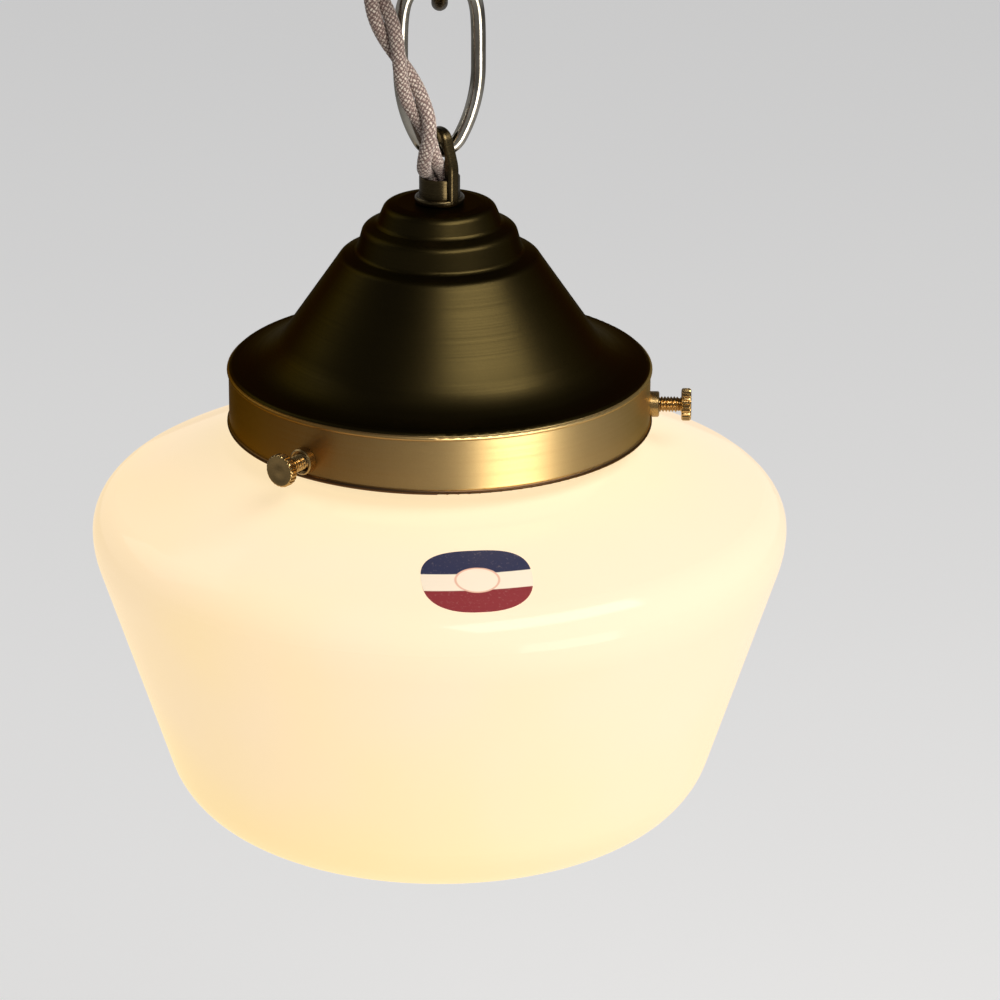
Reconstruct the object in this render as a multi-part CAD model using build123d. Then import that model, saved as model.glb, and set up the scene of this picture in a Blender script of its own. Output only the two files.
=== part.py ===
from build123d import *
from math import atan2, cos, degrees, pi, radians, sin, sqrt, tan
import os

os.makedirs("parts", exist_ok=True)

# Schoolhouse pendant light, in millimetres. The origin is on the ceiling, on the lamp's axis, and the lamp
# hangs down along -Z.

# Clearances
hang_gap = 0.3
soft_gap = 0.3
running_clearance = 0.08
thread_clearance = 0.05
seat_gap = 0.05

# Canopy
canopy_r = 63.5
canopy_depth = 24.0
canopy_flat_r = 31.0
canopy_wall = 0.8
canopy_rim_height = 4.0
canopy_rim_step = 3.5
canopy_flat_step = 3.2
canopy_round = 9.0
canopy_rim_round = 1.4

# Mounting strap
strap_length = 104.0
strap_width = 20.0
strap_corner_r = 5.0
strap_thickness = 2.2
slot_spacing = 79.4
slot_length = 14.4
slot_width = 4.6

# Threaded tube between strap and canopy loop
nipple_r = 4.95
nipple_bore_r = 3.9
nipple_depth = 30.0
nut_flats = 14.0
nut_thickness = 3.2
nut_corner_share = 0.7

# Canopy loop and its collar nut
loop_wire = 4.1
loop_r = 9.5
loop_neck_r = 8.6
loop_neck_top = 4.0
loop_neck_drop = 11.0
loop_neck_chamfer = 2.5
loop_ring_drop = 10.85
collar_flange_r = 13.5
collar_flange_thickness = 2.0
collar_r = 11.9
collar_chamfer = 0.8
collar_height = 7.0
collar_flutes = 20
collar_flute_r = 0.7

# Cord bushing in the canopy
bushing_x = -21.0
bushing_y = -4.8
bushing_r = 4.9
bushing_flange_r = 6.4
bushing_flange_thickness = 1.6
bushing_height = 4.0
bushing_bore_r = 3.9

# Earth screw
earth_screw_x = 22.0
earth_screw_r = 2.0
earth_head_flats = 7.0
earth_head_thickness = 2.6
earth_head_slot = 1.0

# Wire connectors
connector_r = 4.2
connector_tip_r = 2.2
connector_length = 17.0
connector_mouth_depth = 5.0
connector_ribs = 6
connector_rib_r = 0.6
connector_rib_length = 8.5
connector_x = -22.5
connector_y = 15.5
connector_z = -7.4
lead_r = 0.9

# Chain link
link_wire = 3.7
link_pitch = 42.6
link_half_width = 10.0
link_end_r = 6.0
link_turn = 15.0

# Hanging loop on the cap
bail_half_width = 6.3
bail_slot_half_width = 3.5
bail_crown = 3.6
bail_hang_gap = 0.6
bail_height = 17.6
bail_thickness = 3.1
bail_top_half_width = 2.9
bail_shoulder_height = 8.6
bail_shoulder_r = 8.0
bail_edge_r = 0.9
bail_turn = -52.0
foot_r = 6.3
foot_thickness = 1.9
neck_r = 5.15
neck_height = 5.0
neck_bore_r = 4.2
neck_bore_depth = 2.8
neck_mouth_r = 4.85
neck_mouth_depth = 0.8
stem_r = 4.95
stem_bore_r = 3.9
stem_length = 13.2
stem_chamfer = 0.5

# Fitter cap: heights are above the hem of the ring band
cap_height = 58.2
cap_wall = 0.8
crown_flat_r = 10.6
crown_r = 13.9
crown_drop = 0.5
crown_foot_r = 15.8
crown_depth = 5.1
tier_r = 19.4
tier_drop = 1.5
tier_foot_r = 21.0
tier_depth = 12.4
cone_top_r = 25.0
cone_top_drop = 1.3
cone_foot_height = 17.1
sweep_r = 16.5
ring_r = 53.6
flange_width = 9.9
cone_foot_r = ring_r - flange_width
ring_height = 15.7
bead_r = 0.6
hem_r = 0.65
washer_r = 9.0
washer_thickness = 1.0

# Thumb screws and their bosses
screw_azimuths = (-2.0, -128.0, 115.0)
screw_height = 4.9
screw_r = 2.0
screw_head_r = 4.15
screw_head_thickness = 2.5
screw_head_standoff = 7.9
screw_ridges = 24
ridge_depth = 0.35
boss_r = 3.3
boss_proud = 2.3
boss_neck_r = 2.75
boss_flange_thickness = 0.5
boss_sink_r = 2.9
boss_sink_depth = 0.8
boss_chamfer = 0.3
tip_r = 1.7
tip_thickness = 1.2
tip_stem_r = 1.1
tip_stem_length = 2.0

# Glass shade: angles are of the outline's heading, below the horizontal
shade_neck_r = 46.5
shade_wall = 3.0
lip_reach = 3.2
lip_r = shade_neck_r + lip_reach
lip_height = 5.4
lip_round = 1.6
groove_round = 0.5
shade_neck_low = -1.6
shade_neck_curve_r = 2.6
shoulder_angle = 17.4
shoulder_r = 235.0
shoulder_end_angle = 26.5
rim_upper_r = 11.0
rim_lower_r = 23.8
taper_angle = 17.9
flank_length = 57.0
base_curve_r = 22.1
base_angle = 173.0

# Lampholder
holder_cap_collar_r = 7.5
holder_cap_r = 18.6
holder_cap_wall = 1.4
holder_cap_height = 16.0
holder_cap_collar_height = 4.5
holder_cap_slope = 5.0
holder_cap_drop = 5.7
holder_r = 19.2
holder_height = 31.0
holder_spigot_height = 3.5
holder_spigot_r = 17.0
holder_bore_r = 14.4
holder_floor = 4.0
shell_r = 13.3
shell_wall = 0.4
shell_height = 24.5
contact_r = 3.4
contact_thickness = 0.5
contact_gap = 3.6
terminal_r = 2.2
terminal_shank_r = 0.85
terminal_x = 10.0
terminal_head_thickness = 1.6
terminal_slot = 0.8
holder_grooves = 8
holder_groove_r = 0.8

# Bulb
bulb_base_r = 13.2
bulb_base_height = 22.0
bulb_tip_r = 3.2
bulb_tip_height = 1.4
bulb_cone_height = 2.2
bulb_cone_r = 9.0
bulb_swell = 125.0
bulb_r = 30.0
bulb_length = 108.0
bulb_wall = 0.9
bulb_stem_r = 3.4
bulb_stem_length = 34.0
filament_r = 0.35
filament_ring_r = 8.0

# Cord: a tube of the same section as the two twisted strands together
cord_r = 2.6

# Heights that follow from the sizes above
ring_centre_z = -(canopy_depth + loop_ring_drop + loop_r)
loop_low_z = ring_centre_z - loop_r
link_top_z = loop_low_z + loop_wire / 2 + hang_gap + link_wire / 2
link_low_z = link_top_z - link_pitch
bail_top_z = link_low_z + link_wire / 2 + bail_hang_gap + bail_crown
foot_top_z = bail_top_z - bail_height
cap_top_z = foot_top_z - foot_thickness
hem_z = cap_top_z - cap_height
lip_low = screw_height + screw_r + hang_gap


def turned(face):
    """A solid of revolution about Z from a face drawn as (radius, height)."""
    return revolve(Plane.XZ * face, axis=Axis.Z)


def rod(radius, low, high):
    """A straight round bar about Z."""
    return Pos(0, 0, low) * extrude(Circle(radius), high - low)


def standing_cone(low_r, high_r, height, low):
    """A cone or a countersink about Z, standing on its lower circle."""
    return Pos(0, 0, low) * Cone(low_r, high_r, height, align=(Align.CENTER, Align.CENTER, Align.MIN))


def tube(bore, radius, low, high):
    """A straight round sleeve about Z."""
    return rod(radius, low, high) - rod(bore, low - 1, high + 1)


def hex_nut(flats, bore, low, high):
    """A hexagon nut about Z, its corners turned down as on a real nut."""
    blank = Pos(0, 0, low) * extrude(RegularPolygon(flats / 2, 6, major_radius=False), high - low)
    corner_r = flats / sqrt(3)
    turned_down = (corner_r - flats / 2) * nut_corner_share
    barrel = chamfer(rod(corner_r, low, high).edges().filter_by(GeomType.CIRCLE), turned_down)
    return (blank & barrel) - rod(bore, low - 1, high + 1)


def inner_outline(points, radii, wall):
    """An outline's copy, one wall's thickness to the right of its heading, with its corner radii."""
    starts = [Vector(*p) for p in points]
    headings = [(b - a).normalized() for a, b in zip(starts, starts[1:])]
    moved = [a + Vector(h.Y, -h.X) * wall for a, h in zip(starts, headings)]
    corners = [moved[0]]
    inner_radii = []
    for p, h, q, g, radius in zip(moved, headings, moved[1:], headings[1:], radii):
        cross = h.X * g.Y - h.Y * g.X
        along = ((q.X - p.X) * g.Y - (q.Y - p.Y) * g.X) / cross
        corners.append(p + h * along)
        inner_radii.append(radius + wall if cross > 0 else max(radius - wall, 0.1))
    last = headings[-1]
    corners.append(starts[-1] + Vector(last.Y, -last.X) * wall)
    return FilletPolyline(*corners, radius=inner_radii)


def spun_shell(points, radii, wall):
    """Sheet metal spun over a form: an outer outline, with its wall to the right of its heading."""
    outer = FilletPolyline(*points, radius=radii)
    inner = inner_outline(points, radii, wall)
    ends = [Line(outer @ 0, inner @ 0), Line(outer @ 1, inner @ 1)]
    return turned(make_face([outer, inner] + ends))


def lowest_circle(solid):
    return solid.edges().filter_by(GeomType.CIRCLE).group_by(Axis.Z)[0]


def highest_circle(solid):
    return solid.edges().filter_by(GeomType.CIRCLE).group_by(Axis.Z)[-1]


def soft_tube(radius, points, name):
    """A cord or lead: straight runs joined by the largest tangent arcs that its route allows.

    It prints the length, the arcs' radii and how far the volume is from section times length."""
    corners = [Vector(*p) for p in points]
    radii = []
    for before, here, after in zip(corners, corners[1:], corners[2:]):
        turn = (here - before).get_angle(after - here)
        shorter = min((here - before).length, (after - here).length)
        radii.append(0.45 * shorter / tan(radians(turn / 2)))
    path = FilletPolyline(*points, radius=radii)
    start = Plane(origin=path @ 0, z_dir=path % 0)
    solid = sweep(start * Circle(radius), path=path)
    exact = pi * radius ** 2 * path.length
    shown = ", ".join(f"{r:.1f}" for r in radii)
    print(f"{name}: length {path.length:.1f}, radii {shown}, volume off by {solid.volume / exact - 1:.1e}")
    return solid


def pointing_out(shape, height, azimuth):
    """Lays a piece made about Z on its side, at a height above the hem, pointing away from the axis."""
    return Pos(0, 0, hem_z) * Rot(0, 0, azimuth) * Pos(0, 0, height) * Rot(0, 90, 0) * shape


# Canopy: a spun brass pan that covers the ceiling box
def canopy():
    low = -canopy_depth
    rim_low = -canopy_rim_height
    points = [
        (canopy_r, 0),
        (canopy_r, rim_low),
        (canopy_r - canopy_rim_step, rim_low - canopy_rim_step / 2),
        (canopy_r - 2 * canopy_rim_step, rim_low - 2 * canopy_rim_step),
        (canopy_flat_r + 2 * canopy_flat_step, low + canopy_flat_step + canopy_wall),
        (canopy_flat_r + canopy_flat_step, low + canopy_flat_step),
        (canopy_flat_r, low),
        (loop_neck_r + seat_gap, low),
    ]
    tight = canopy_rim_round
    radii = [tight, tight, canopy_round, canopy_round / 2, tight, tight]
    hole = Pos(bushing_x, bushing_y) * rod(bushing_r + seat_gap, low - 1, low + 3 * canopy_wall)
    return spun_shell(points, radii, canopy_wall) - hole


# Mounting strap: steel, with two slots for the ceiling box's screws and tapped holes
def mounting_strap():
    plate = extrude(RectangleRounded(strap_length, strap_width, strap_corner_r), -strap_thickness)
    slot = extrude(SlotOverall(slot_length, slot_width), -strap_thickness * 3)
    for side in (-1, 1):
        plate -= Pos(side * slot_spacing / 2, 0, strap_thickness) * slot
    plate -= rod(nipple_r + thread_clearance, -strap_thickness - 1, 1)
    return plate - Pos(earth_screw_x, 0) * rod(earth_screw_r + thread_clearance, -strap_thickness - 1, 1)


def canopy_nipple():
    return tube(nipple_bore_r, nipple_r, -nipple_depth, -seat_gap)


def strap_nut():
    top = -strap_thickness
    return hex_nut(nut_flats, nipple_r + thread_clearance, top - nut_thickness, top)


def earth_screw():
    top = -strap_thickness
    hexagon = RegularPolygon(earth_head_flats / 2, 6, major_radius=False)
    head = Pos(0, 0, top) * extrude(hexagon, -earth_head_thickness)
    slot = Box(earth_head_flats * 2, earth_head_slot, earth_head_thickness)
    head -= Pos(0, 0, top - earth_head_thickness) * slot
    return Pos(earth_screw_x, 0) * (head + rod(earth_screw_r, top, -seat_gap))


# Canopy loop: a brass ring cast with a tapped neck, held up by the collar nut under the canopy
def canopy_loop():
    neck_top = -canopy_depth + loop_neck_top
    neck_low = -canopy_depth - loop_neck_drop
    lie = Pos(0, 0, ring_centre_z) * Rot(0, 90, 0)
    neck = rod(loop_neck_r, neck_low, neck_top)
    neck = chamfer(lowest_circle(neck), loop_neck_chamfer)
    neck -= lie * Cylinder(loop_r, loop_neck_r * 3)
    tapped = rod(nipple_r + thread_clearance, -nipple_depth - hang_gap, neck_top + 1)
    return neck + lie * Torus(loop_r, loop_wire / 2) - tapped


def collar_nut():
    top = -canopy_depth
    low = top - collar_height
    nut = rod(collar_flange_r, top - collar_flange_thickness, top) + rod(collar_r, low, top)
    nut = chamfer(lowest_circle(nut), collar_chamfer)
    for i in range(collar_flutes):
        flute = Pos(collar_r, 0) * rod(collar_flute_r, low - 1, top - collar_flange_thickness)
        nut -= Rot(0, 0, i * 360 / collar_flutes) * flute
    return nut - rod(loop_neck_r + thread_clearance, low - 1, top + 1)


def cord_bushing():
    top = -canopy_depth
    flange = rod(bushing_flange_r, top - bushing_flange_thickness, top)
    flange = fillet(lowest_circle(flange), bushing_flange_thickness / 2)
    bushing = flange + rod(bushing_r, top - 0.1, top + bushing_height)
    bushing -= rod(bushing_bore_r, top - bushing_flange_thickness - 1, top + bushing_height + 1)
    return Pos(bushing_x, bushing_y) * bushing


# Wire connectors: two moulded caps with their mouths towards +X
def connector():
    body = standing_cone(connector_r, connector_tip_r, connector_length, 0)
    body = fillet(body.edges().filter_by(GeomType.CIRCLE), connector_tip_r / 3)
    lean = degrees(atan2(connector_r - connector_tip_r, connector_length))
    rib = Rot(0, -lean, 0) * Cylinder(connector_rib_r, connector_rib_length)
    rib = Pos(connector_r * 3 / 4, 0, connector_rib_length * 3 / 4) * rib
    for i in range(connector_ribs):
        body += Rot(0, 0, i * 360 / connector_ribs) * rib
    return body - rod(lead_r + soft_gap, -1, connector_mouth_depth)


def wire_connectors():
    lying = Rot(0, -90, 0) * connector()
    return [Pos(connector_x, side * connector_y, connector_z) * lying for side in (-1, 1)]


# Chain link: polished wire bent to an oval of four tangent arcs and brazed shut
def chain_link():
    half = link_pitch / 2
    rise = half - link_end_r
    side_r = (link_half_width ** 2 + rise ** 2 - link_end_r ** 2) / (2 * (link_half_width - link_end_r))
    side_turn = 2 * degrees(atan2(rise, side_r - link_half_width))
    end_turn = 180 - side_turn
    first = JernArc((0, -half), (1, 0), link_end_r, end_turn / 2)
    right = JernArc(first @ 1, first % 1, side_r, side_turn)
    top = JernArc(right @ 1, right % 1, link_end_r, end_turn)
    left = JernArc(top @ 1, top % 1, side_r, side_turn)
    last = JernArc(left @ 1, left % 1, link_end_r, end_turn / 2)
    centre_z = (link_top_z + link_low_z) / 2
    path = Pos(0, 0, centre_z) * Rot(0, 0, link_turn) * (Plane.XZ * Wire([first, right, top, left, last]))
    return sweep(Plane(origin=path @ 0, z_dir=path % 0) * Circle(link_wire / 2), path=path)


# Hanging loop: one casting of foot, hollow neck, slotted bail and threaded stem
def bail():
    """The slotted plate, its long edges rounded, standing across X with its foot at height 0."""
    outline = [
        (bail_half_width, -foot_thickness / 2),
        (bail_half_width, bail_shoulder_height),
        (bail_top_half_width, bail_height),
        (-bail_top_half_width, bail_height),
        (-bail_half_width, bail_shoulder_height),
        (-bail_half_width, -foot_thickness / 2),
    ]
    crown_corner_r = bail_top_half_width + 1
    edge = FilletPolyline(*outline, radius=[bail_shoulder_r, crown_corner_r, crown_corner_r, bail_shoulder_r])
    face = make_face([edge, Line(edge @ 0, edge @ 1)])
    plate = extrude(Plane.XZ * face, bail_thickness / 2, both=True)
    plate = fillet(long_edges(plate).filter_by(lambda e: e.center().Z > 0), bail_edge_r)
    arch_z = bail_height - bail_crown - bail_slot_half_width
    opening = Box(2 * bail_slot_half_width, bail_thickness * 2, arch_z - neck_height)
    plate -= Pos(0, 0, (arch_z + neck_height) / 2) * opening
    plate -= Pos(0, 0, arch_z) * Rot(90, 0, 0) * Cylinder(bail_slot_half_width, bail_thickness * 2)
    rims = []
    crown_low = bail_height - bail_crown
    for edge in long_edges(plate):
        middle = edge.center()
        if abs(middle.X) < bail_slot_half_width + seat_gap and neck_height < middle.Z < crown_low + seat_gap:
            rims.append(edge)
    return fillet(rims, bail_edge_r * 0.8)


def long_edges(plate):
    """The edges on a plate's front and back."""
    return plate.edges().filter_by(lambda e: abs(abs(e.center().Y) - bail_thickness / 2) < 0.01)


def hang_loop():
    stem_low = -foot_thickness - stem_length
    neck = fillet(highest_circle(rod(neck_r, 0, neck_height)), (neck_r - neck_mouth_r) * 0.8)
    foot = rod(foot_r, -foot_thickness, 0)
    foot = fillet(foot.edges().filter_by(GeomType.CIRCLE), foot_thickness * 0.4)
    stem = chamfer(lowest_circle(rod(stem_r, stem_low, 0)), stem_chamfer)
    bore = rod(stem_bore_r, stem_low - 1, neck_height)
    bore += rod(neck_bore_r, neck_height - neck_bore_depth, neck_height + 1)
    mouth = standing_cone(neck_bore_r, neck_mouth_r, neck_mouth_depth, neck_height - neck_mouth_depth)
    casting = bail() + neck + foot + stem - bore - mouth
    return Pos(0, 0, foot_top_z) * Rot(0, 0, bail_turn) * casting


# Fitter cap: spun brass, pierced for the three bosses, with a bead above its band and a rolled hem below
def fitter_cap():
    crown_foot = cap_height - crown_depth
    tier_foot = cap_height - tier_depth
    points = [
        (stem_r + seat_gap, cap_height),
        (crown_flat_r, cap_height),
        (crown_r, cap_height - crown_drop),
        (crown_foot_r, crown_foot),
        (tier_r, crown_foot - tier_drop),
        (tier_foot_r, tier_foot),
        (cone_top_r, tier_foot - cone_top_drop),
        (cone_foot_r, cone_foot_height),
        (ring_r, ring_height),
        (ring_r, hem_r),
    ]
    cap = Pos(0, 0, hem_z) * spun_shell(points, [3.0, 2.2, 1.6, 2.2, 1.4, 2.4, sweep_r, 1.2], cap_wall)
    cap += Pos(0, 0, hem_z + ring_height - 2 * bead_r) * Torus(ring_r - bead_r / 4, bead_r)
    cap += Pos(0, 0, hem_z + hem_r) * Torus(ring_r - hem_r / 6, hem_r)
    for azimuth in screw_azimuths:
        hole = rod(boss_neck_r + seat_gap, ring_r - 2 * boss_r, ring_r + 2 * boss_r)
        cap -= pointing_out(hole, screw_height, azimuth)
    return cap


def cap_washer():
    top = cap_top_z - cap_wall - seat_gap
    return tube(stem_r + seat_gap, washer_r, top - washer_thickness, top)


def cap_nut():
    top = cap_top_z - cap_wall - seat_gap - washer_thickness
    return hex_nut(nut_flats, stem_r + thread_clearance, top - nut_thickness, top)


# Screw bosses: brass bushes riveted through the ring band, their mouths countersunk
def screw_boss(azimuth):
    band_in = ring_r - cap_wall
    face_r = ring_r + boss_proud
    proud = chamfer(highest_circle(rod(boss_r, ring_r - 1, face_r)), boss_chamfer)
    rivet = rod(boss_r, band_in - boss_flange_thickness, ring_r)
    neck = rod(boss_neck_r, band_in - boss_flange_thickness, ring_r + boss_proud / 2)
    bore_r = screw_r + running_clearance
    bore = rod(bore_r, band_in - boss_proud, face_r + 1)
    bore += standing_cone(bore_r, boss_sink_r, boss_sink_depth, face_r - boss_sink_depth)
    low = hem_z - screw_height
    high = hem_z + 3 * screw_height
    outside = pointing_out(proud, screw_height, azimuth) - rod(ring_r + seat_gap, low, high)
    inside = pointing_out(rivet, screw_height, azimuth) & rod(band_in - seat_gap, low, high)
    bush = outside + inside + pointing_out(neck, screw_height, azimuth)
    return bush - pointing_out(bore, screw_height, azimuth)


def screw_bosses():
    return [screw_boss(azimuth) for azimuth in screw_azimuths]


# Thumb screws: brass, with a ridged head, and a nylon tip that swivels in the screw's end
tip_low = shade_neck_r + soft_gap
screw_end = tip_low + tip_thickness + running_clearance
head_low = ring_r + screw_head_standoff


def ridged_head():
    valley_r = screw_head_r - ridge_depth
    teeth = []
    for i in range(screw_ridges):
        for share, radius in ((0, valley_r), (1 / 4, screw_head_r), (3 / 5, screw_head_r), (6 / 7, valley_r)):
            angle = 2 * pi * (i + share) / screw_ridges
            teeth.append((radius * cos(angle), radius * sin(angle)))
    star = extrude(make_face(Polyline(*teeth, close=True)), screw_head_thickness)
    disc = rod(screw_head_r, 0, screw_head_thickness)
    return star & fillet(disc.edges().filter_by(GeomType.CIRCLE), ridge_depth * 1.6)


def thumb_screw(azimuth):
    shank = chamfer(lowest_circle(rod(screw_r, screw_end, head_low + 0.5)), ridge_depth)
    socket_top = screw_end + tip_stem_length + running_clearance
    socket = rod(tip_stem_r + running_clearance, screw_end - 1, socket_top)
    screw = shank - socket + Pos(0, 0, head_low) * ridged_head()
    return pointing_out(screw, screw_height, azimuth)


def swivel_tip(azimuth):
    disc = fillet(lowest_circle(rod(tip_r, tip_low, tip_low + tip_thickness)), tip_thickness / 3)
    tip = disc + rod(tip_stem_r, tip_low + tip_thickness / 2, screw_end + tip_stem_length)
    return pointing_out(tip, screw_height, azimuth)


# Glass shade: blown opal glass, closed below, its grooved neck hanging on the three screws
def shade_curve(inset):
    """Tangent arcs from the neck down to the axis; the inset moves the whole outline into the glass."""
    start = (shade_neck_r - inset, shade_neck_low)
    neck = JernArc(start, (0, -1), shade_neck_curve_r + inset, 90 - shoulder_angle)
    shoulder = JernArc(neck @ 1, neck % 1, shoulder_r - inset, shoulder_angle - shoulder_end_angle)
    upper = JernArc(shoulder @ 1, shoulder % 1, rim_upper_r - inset, shoulder_end_angle - 90)
    lower = JernArc(upper @ 1, upper % 1, rim_lower_r - inset, -taper_angle)
    flank = Line(lower @ 1, lower @ 1 + (lower % 1) * flank_length)
    corner = JernArc(flank @ 1, flank % 1, base_curve_r - inset, 90 + taper_angle - base_angle)
    base_r = (corner @ 1).X / sin(radians(base_angle))
    base = JernArc(corner @ 1, corner % 1, base_r, base_angle - 180)
    return [neck, shoulder, upper, lower, flank, corner, base]


def glass_shade():
    outer = shade_curve(0)
    inner = shade_curve(shade_wall)
    lip_top = lip_low + lip_height
    lip = FilletPolyline(
        outer[0] @ 0,
        (shade_neck_r, lip_low),
        (lip_r, lip_low),
        (lip_r, lip_top),
        (shade_neck_r - shade_wall, lip_top),
        inner[0] @ 0,
        radius=[groove_round, lip_round, lip_round, lip_round],
    )
    axis = Line(outer[-1] @ 1, inner[-1] @ 1)
    return Pos(0, 0, hem_z) * turned(make_face(outer + inner + [lip, axis]))


# Lampholder: a brass cap on the stem, a moulded body plugged into it, and the metal inside
holder_cap_top = cap_top_z - holder_cap_drop
spigot_low = holder_cap_top - holder_cap_height - seat_gap
holder_top = spigot_low + holder_spigot_height
holder_low = holder_top - holder_height
floor_low = holder_top - holder_floor


def holder_cap():
    collar_foot = holder_cap_top - holder_cap_collar_height
    points = [
        (stem_r + thread_clearance, holder_cap_top),
        (holder_cap_collar_r, holder_cap_top),
        (holder_cap_collar_r, collar_foot),
        (holder_cap_r, collar_foot - holder_cap_slope),
        (holder_cap_r, holder_cap_top - holder_cap_height),
    ]
    return spun_shell(points, [1.0, 2.0, 2.6], holder_cap_wall)


def lampholder_body():
    body = fillet(lowest_circle(rod(holder_r, holder_low, spigot_low)), holder_groove_r)
    body += rod(holder_spigot_r, spigot_low - 1, holder_top)
    body -= rod(holder_bore_r, holder_low - 1, floor_low)
    groove = Pos(holder_r, 0) * rod(holder_groove_r, holder_low + holder_floor, spigot_low - holder_floor)
    for i in range(holder_grooves):
        body -= Rot(0, 0, (i + 0.5) * 360 / holder_grooves) * groove
    hole = rod(terminal_shank_r + thread_clearance, floor_low - 1, holder_top + 1)
    return body - Pos(terminal_x, 0) * hole - Pos(-terminal_x, 0) * hole


def screw_shell():
    outer_r = shell_r + shell_wall
    wall = tube(shell_r, outer_r, floor_low - shell_height, floor_low)
    return wall + tube(contact_r * 2, outer_r, floor_low - shell_wall, floor_low)


def centre_contact():
    low = floor_low - contact_gap
    return rod(contact_r, low, low + contact_thickness) + rod(contact_r / 2, low, floor_low)


def terminal_screws():
    head_top = holder_top + terminal_head_thickness
    head = chamfer(highest_circle(rod(terminal_r, holder_top, head_top)), terminal_head_thickness / 5)
    head -= Pos(0, 0, head_top) * Box(terminal_r * 3, terminal_slot, terminal_head_thickness)
    screw = head + rod(terminal_shank_r, floor_low + terminal_r / 3, holder_top)
    return [Pos(side * terminal_x, 0) * screw for side in (-1, 1)]


# Bulb: a clear glass envelope in a screw base, with a stem and a ring of filament inside
bulb_top = floor_low - contact_gap - soft_gap
base_top = bulb_top - bulb_tip_height - bulb_cone_height
base_low = base_top - bulb_base_height
bulb_low = bulb_top - bulb_length
bulb_neck_r = bulb_base_r - bulb_wall - seat_gap


def bulb_base():
    shoulder = bulb_base_r - bulb_cone_r
    shell = chamfer(highest_circle(rod(bulb_base_r, base_low, base_top)), shoulder)
    return shell - rod(bulb_base_r - bulb_wall, base_low - 1, base_top - shoulder - bulb_wall)


def bulb_contact():
    cone = standing_cone(bulb_cone_r, bulb_tip_r, bulb_cone_height, base_top)
    tip = rod(bulb_tip_r, bulb_top - bulb_tip_height - 0.1, bulb_top)
    return cone + fillet(highest_circle(tip), bulb_tip_height * 0.6)


def bulb_curve(inset):
    """From the ball's lowest point up its arc and along a flare into the straight neck."""
    ball = CenterArc((0, bulb_low + bulb_r), bulb_r - inset, -90, bulb_swell)
    neck_foot = Vector(bulb_neck_r - inset, base_low)
    reach = (neck_foot - ball @ 1).length * 0.4
    flare = Bezier(ball @ 1, ball @ 1 + (ball % 1) * reach, neck_foot - Vector(0, reach), neck_foot)
    neck = Line(neck_foot, neck_foot + Vector(0, bulb_base_height / 4))
    return [ball, flare, neck]


def bulb_glass():
    outer = bulb_curve(0)
    inner = bulb_curve(bulb_wall)
    ends = [Line(outer[0] @ 0, inner[0] @ 0), Line(outer[-1] @ 1, inner[-1] @ 1)]
    return turned(make_face(outer + inner + ends))


def bulb_stem():
    stem = fillet(lowest_circle(rod(bulb_stem_r, base_low - bulb_stem_length, base_low)), bulb_stem_r * 0.4)
    return stem + rod(bulb_neck_r - bulb_wall - seat_gap, base_low, base_low + 2 * bulb_wall)


def bulb_filament():
    """One wire that leaves the stem's foot, runs round it as a hexagon and comes back."""
    level = base_low - bulb_stem_length + bulb_stem_r
    start_r = bulb_stem_r + seat_gap + filament_r
    spots = [(start_r, 20)] + [(filament_ring_r, angle) for angle in range(30, 331, 60)] + [(start_r, -20)]
    points = [(r * cos(radians(angle)), r * sin(radians(angle)), level) for r, angle in spots]
    path = FilletPolyline(*points, radius=4 * filament_r)
    return sweep(Plane(origin=path @ 0, z_dir=path % 0) * Circle(filament_r), path=path)


# Cord: two twisted strands that leave the loop's neck, pass in front of the link and enter the canopy
cord_lower_route = [
    (0.0, 0.0, -110.5),
    (0.1, 0.0, -106.3),
    (0.64, 0.36, -100.9),
    (-2.1, -1.9, -96.6),
    (-1.3, -7.2, -92.95),
    (-4.1, -8.9, -83.2),
    (-6.6, -9.0, -75.6),
    (-9.4, -8.65, -68.1),
]
cord_upper_route = [
    (-9.4, -8.65, -68.1),
    (-12.5, -8.26, -59.8),
    (-15.9, -7.5, -50.8),
    (-18.4, -6.5, -42.2),
    (-20.1, -5.5, -34.5),
    (-20.9, -4.95, -27.8),
    (-21.0, -4.8, -21.2),
]


# Leads: the strands' two cores, bared inside the lampholder cap and inside the canopy
def holder_leads():
    level = holder_top + terminal_head_thickness + lead_r + 0.1
    leads = []
    for side in (-1, 1):
        route = [
            (side * 1.1, 0, foot_top_z - 7.1),
            (side * 1.5, 0, foot_top_z - 11.3),
            (side * 2.6, 0, foot_top_z - 15.6),
            (side * 6.4, 0, level + 0.25),
            (side * terminal_x, 0, level),
        ]
        leads.append(soft_tube(lead_r, route, "holder lead"))
    return leads


def canopy_leads():
    mouth = (connector_x - 2.0, connector_z)
    near = [
        (-21.0, -5.9, -20.8),
        (-21.3, -7.2, -15.5),
        (-17.5, -9.0, -10.2),
        (-14.5, -13.0, -8.2),
        (-19.2, -connector_y, mouth[1]),
        (mouth[0], -connector_y, mouth[1]),
    ]
    far = [
        (-21.0, -3.7, -20.8),
        (-21.5, -2.6, -14.5),
        (-18.5, 4.0, -9.5),
        (-15.0, 11.0, -8.0),
        (-19.2, connector_y, mouth[1]),
        (mouth[0], connector_y, mouth[1]),
    ]
    return [soft_tube(lead_r, route, "canopy lead") for route in (near, far)]


parts = {}

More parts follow.
